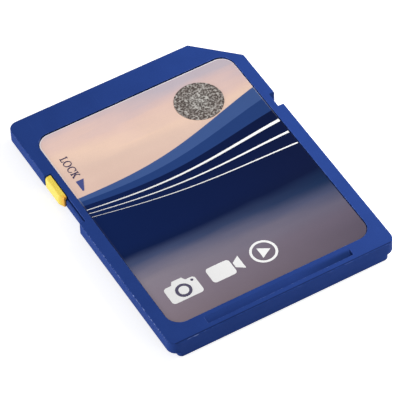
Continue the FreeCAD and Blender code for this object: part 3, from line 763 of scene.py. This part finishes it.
def lock_lettering():
    """The word beside the slider in a light serif letter, reading down towards the locked end."""
    layer_step = 0.02
    shape = bmesh.new()
    low = SERIF / 2
    high = LETTER_HEIGHT - SERIF / 2
    middle = LETTER_HEIGHT / 2
    strokes = [
        # L
        ((0.17, 0), (0.17, LETTER_HEIGHT), THICK_STROKE),
        ((0.02, high), (0.32, high), SERIF),
        ((0.02, low), (0.53, low), SERIF),
        ((0.5, 0), (0.5, 0.24), SERIF),
        # Ends of C
        ((2.1, 0.5), (2.1, 0.78), SERIF),
        ((2.1, 0.12), (2.1, 0.26), SERIF),
        # K
        ((2.38, 0), (2.38, LETTER_HEIGHT), THICK_STROKE),
        ((2.24, high), (2.52, high), SERIF),
        ((2.24, low), (2.52, low), SERIF),
        ((2.44, 0.34), (2.74, high), THIN_STROKE),
        ((2.5, 0.46), (2.8, low), THICK_STROKE),
        ((2.62, high), (2.84, high), SERIF),
        ((2.66, low), (2.92, low), SERIF),
    ]
    # Each stroke is a little thicker than the one before, so that no two tops lie in one plane
    for layer, (start, end, width) in enumerate(strokes):
        stroke(shape, start, end, width, INK_THICKNESS * (1 + layer_step * layer))
    ring(shape, (0.97, middle), outer=(0.39, 0.42), inner=(0.25, 0.35))
    ring(shape, (1.83, middle), outer=(0.4, 0.42), inner=(0.27, 0.35), open_from=2.08)
    reading_down = Matrix.Rotation(-math.pi / 2, 3, "Z")
    bmesh.ops.rotate(shape, verts=shape.verts, cent=(0, 0, 0), matrix=reading_down)
    bmesh.ops.translate(shape, verts=shape.verts, vec=(*LOCK_START, 0))
    finish_print("lock_lettering", shape, LETTER_INK)


def lock_arrow():
    """Pointer from the word towards the locked end."""
    shape = bmesh.new()
    flat_plate(shape, ARROW_CORNERS)
    finish_print("lock_arrow", shape, ARROW_INK)


def around(place, corners):
    """Corners on the label, given as seen from a place on it."""
    return [(place[0] + x, place[1] + y) for x, y in corners]


def pictograms():
    """White marks for a camera, a film recorder and a player, with the camera's lens in dark ink."""
    white = bmesh.new()
    dark = bmesh.new()
    on_white = LABEL_TOP + INK_THICKNESS
    on_dark = LABEL_TOP + 2 * INK_THICKNESS
    lens, window = around(CAMERA_PLACE, [(0, -0.15), (1.25, 0.55)])
    rounded_plate(white, lens, width=3.3, height=2.1, corner=0.35)
    flat_plate(white, around(CAMERA_PLACE, CAMERA_HUMP))
    disc(dark, lens, radius=0.8, height=on_white)
    disc(dark, window, radius=0.14, height=on_white)
    disc(white, lens, radius=0.5, height=on_dark)
    recorder = around(RECORDER_PLACE, [(-0.45, 0)])[0]
    rounded_plate(white, recorder, width=2.5, height=1.9, corner=0.35)
    flat_plate(white, around(RECORDER_PLACE, RECORDER_HORN))
    ring(white, PLAY_PLACE, outer=(1.35, 1.35), inner=(1.1, 1.1))
    flat_plate(white, around(PLAY_PLACE, PLAY_POINTER))
    finish_print("pictograms", white, WHITE_INK)
    finish_print("pictogram_lens", dark, LENS_INK)


def light_lines():
    """White lines that fan out below the bands of the print."""
    steps = 64
    edge_gap = 0.05
    thin_end = 0.25
    left = label_low.x + edge_gap
    right = label_high.x - edge_gap
    shape = bmesh.new()
    for line in LIGHT_LINES:
        strip = bmesh.ops.create_grid(shape, x_segments=steps, y_segments=1, size=0.5)["verts"]
        for vertex in strip:
            across = vertex.co.x + 0.5
            side = math.copysign(0.5, vertex.co.y)
            x = left + (right - left) * across
            thickness = line["width"] * (thin_end + (1 - thin_end) * across)
            vertex.co = (x, crest_height(line, x) + side * thickness, LABEL_TOP)
    lift_ink(shape, shape.faces[:])
    finish_print("light_lines", shape, WHITE_INK)


def pale_floor():
    """Pale floor under the card, white to the eye and in reflections, with the card's shadow on it."""
    half_width = 2.0
    gap_below_card = 0.02 * MM
    grey = 0.82
    glow = 0.7
    shape = bmesh.new()
    bmesh.ops.create_grid(shape, x_segments=1, y_segments=1, size=half_width)
    bmesh.ops.translate(shape, verts=shape.verts, vec=(0, 0, -gap_below_card))
    mesh = bpy.data.meshes.new("pale_floor")
    shape.to_mesh(mesh)
    shape.free()
    material, wiring, shader = new_finish("pale_floor")
    shader["Base Color"].default_value = (grey, grey, grey, 1)
    shader["Roughness"].default_value = 0.9
    shader["Specular IOR Level"].default_value = 0.0
    rays = wiring.add("ShaderNodeLightPath").outputs
    seen = wiring.math("MAXIMUM", rays["Is Camera Ray"], rays["Is Glossy Ray"])
    seen = wiring.math("MAXIMUM", seen, rays["Is Transmission Ray"])
    shader["Emission Color"].default_value = (1, 1, 1, 1)
    wiring.feed(shader["Emission Strength"], wiring.math("MULTIPLY", seen, glow))
    mesh.materials.append(material)
    floor = bpy.data.objects.new("pale_floor", mesh)
    bpy.context.collection.objects.link(floor)


def soft_panel(name, position, size, watts):
    """A square soft light, placed in millimetres and aimed at the card."""
    lamp = bpy.data.lights.new(name, "AREA")
    lamp.shape = "SQUARE"
    lamp.size = size * MM
    lamp.energy = watts
    panel = bpy.data.objects.new(name, lamp)
    panel.location = Vector(position) * MM
    panel.rotation_euler = Vector(position).to_track_quat("Z", "Y").to_euler()
    bpy.context.collection.objects.link(panel)


def studio_light():
    """Even white surroundings and three soft panels."""
    world = bpy.data.worlds.new("studio")
    bpy.context.scene.world = world
    world.use_nodes = True
    sky = world.node_tree.nodes["Background"].inputs
    sky["Color"].default_value = (1, 1, 1, 1)
    sky["Strength"].default_value = 0.3
    soft_panel("left_panel", position=(-330, 120, 42), size=60, watts=0.9)
    soft_panel("right_panel", position=(50, -2, 45), size=40, watts=0.045)
    soft_panel("front_panel", position=(100, -270, 75), size=100, watts=0.13)


def photo_camera():
    """Camera at the photograph's viewing angle, in millimetres round the middle of the card."""
    target = Vector((0, 0, 1))
    azimuth = math.radians(-27.34)
    elevation = math.radians(48.81)
    roll = math.radians(-3.47)
    distance = 333.3
    slide_right = 0.137
    slide_up = -0.973
    back = Vector((math.sin(azimuth) * math.cos(elevation), -math.cos(azimuth) * math.cos(elevation),
                   math.sin(elevation)))
    right = Vector((math.cos(azimuth), math.sin(azimuth), 0))
    up = back.cross(right)
    rolled_right = right * math.cos(roll) + up * math.sin(roll)
    rolled_up = up * math.cos(roll) - right * math.sin(roll)
    position = target + rolled_right * slide_right + rolled_up * slide_up + back * distance
    data = bpy.data.cameras.new("photo_camera")
    data.sensor_width = 36
    data.lens = 317.7
    data.clip_start = 0.01
    data.clip_end = 20
    camera = bpy.data.objects.new("photo_camera", data)
    turn = Matrix((rolled_right, rolled_up, back)).transposed().to_4x4()
    camera.matrix_world = Matrix.Translation(position * MM) @ turn
    bpy.context.collection.objects.link(camera)
    bpy.context.scene.camera = camera


dress_cad_nodes()
lock_lettering()
lock_arrow()
light_lines()
pictograms()
pale_floor()
studio_light()
photo_camera()

bpy.context.scene.view_settings.view_transform = "Standard"
